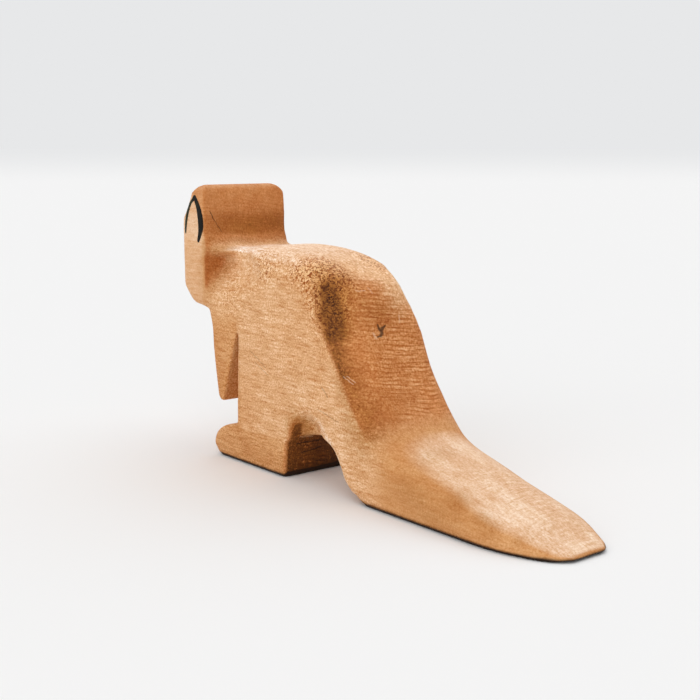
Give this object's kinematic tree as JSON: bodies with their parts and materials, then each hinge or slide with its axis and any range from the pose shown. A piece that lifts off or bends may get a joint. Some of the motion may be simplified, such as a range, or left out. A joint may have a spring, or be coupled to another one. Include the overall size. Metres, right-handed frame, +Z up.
{
  "type": "wallaby figurine",
  "caption": "Carved wooden wallaby figurine, sawn from a plank, standing on its hind feet and tail, with painted ears, eyes and nose.",
  "frame": {"origin": "middle of the figure's length and thickness, on the plane it stands on", "axes": "+X towards the head, +Y to the animal's left, +Z up"},
  "size_m": [0.1598, 0.03, 0.0802],
  "materials": {
    "carved_wood": "oiled, satin",
    "black_paint": "dried brush paint, satin"
  },
  "bodies": {
    "root": {"wallaby_body": "carved_wood", "ear_mark_left": "black_paint", "ear_mark_right": "black_paint", "eye_left": "black_paint", "eye_right": "black_paint", "nose_mark": "black_paint"}
  },
  "joints": []
}
